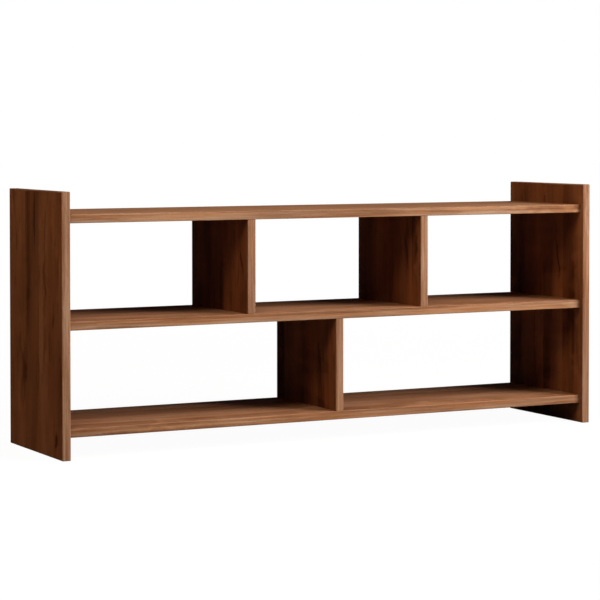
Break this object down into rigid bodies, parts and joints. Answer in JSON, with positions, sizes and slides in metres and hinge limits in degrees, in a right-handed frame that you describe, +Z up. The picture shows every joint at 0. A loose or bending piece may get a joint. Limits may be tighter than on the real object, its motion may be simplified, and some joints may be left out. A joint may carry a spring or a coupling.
{
  "type": "desk hutch",
  "caption": "Open-backed walnut desk hutch: side panels carry full-width shelves, with dividers making small bays over wide ones, knocked down with dowels and cam fittings.",
  "frame": {"origin": "on the desk top, under the middle of the hutch", "axes": "+X to the right along the shelves, +Y from the front to the back, +Z up"},
  "size_m": [1.2, 0.283, 0.508],
  "materials": {
    "walnut_board": "walnut veneer on board, satin lacquer",
    "walnut_edge": "walnut edge band, long grain, satin lacquer",
    "beech_dowel": "fluted beech, raw",
    "bolt_steel": "zinc plated steel, machined",
    "cam_zinc": "die-cast zinc, dull",
    "cap_brown": "fine moulded grain, walnut brown"
  },
  "bodies": {
    "root": {"left_side_panel": "walnut_board", "right_side_panel": "walnut_board", "top_shelf": "walnut_board", "middle_shelf": "walnut_board", "bottom_shelf": "walnut_board", "upper_left_divider": "walnut_board", "upper_right_divider": "walnut_board", "lower_divider": "walnut_board", "left_side_front_band": "walnut_edge", "left_side_back_band": "walnut_edge", "left_side_top_band": "walnut_edge", "left_side_bottom_band": "walnut_edge", "right_side_front_band": "walnut_edge", "right_side_back_band": "walnut_edge", "right_side_top_band": "walnut_edge", "right_side_bottom_band": "walnut_edge", "top_shelf_front_band": "walnut_edge", "top_shelf_back_band": "walnut_edge", "middle_shelf_front_band": "walnut_edge", "middle_shelf_back_band": "walnut_edge", "bottom_shelf_front_band": "walnut_edge", "bottom_shelf_back_band": "walnut_edge", "upper_left_divider_front_band": "walnut_edge", "upper_left_divider_back_band": "walnut_edge", "upper_right_divider_front_band": "walnut_edge", "upper_right_divider_back_band": "walnut_edge", "lower_divider_front_band": "walnut_edge", "lower_divider_back_band": "walnut_edge", "top_shelf_dowels": "beech_dowel", "top_shelf_bolts": "bolt_steel", "top_shelf_cams": "cam_zinc", "top_shelf_caps": "cap_brown", "middle_shelf_dowels": "beech_dowel", "middle_shelf_bolts": "bolt_steel", "middle_shelf_cams": "cam_zinc", "middle_shelf_caps": "cap_brown", "bottom_shelf_dowels": "beech_dowel", "bottom_shelf_bolts": "bolt_steel", "bottom_shelf_cams": "cam_zinc", "bottom_shelf_caps": "cap_brown", "upper_left_divider_dowels": "beech_dowel", "upper_left_divider_bolts": "bolt_steel", "upper_left_divider_cams": "cam_zinc", "upper_left_divider_caps": "cap_brown", "upper_right_divider_dowels": "beech_dowel", "upper_right_divider_bolts": "bolt_steel", "upper_right_divider_cams": "cam_zinc", "upper_right_divider_caps": "cap_brown", "lower_divider_dowels": "beech_dowel", "lower_divider_bolts": "bolt_steel", "lower_divider_cams": "cam_zinc", "lower_divider_caps": "cap_brown"}
  },
  "joints": []
}
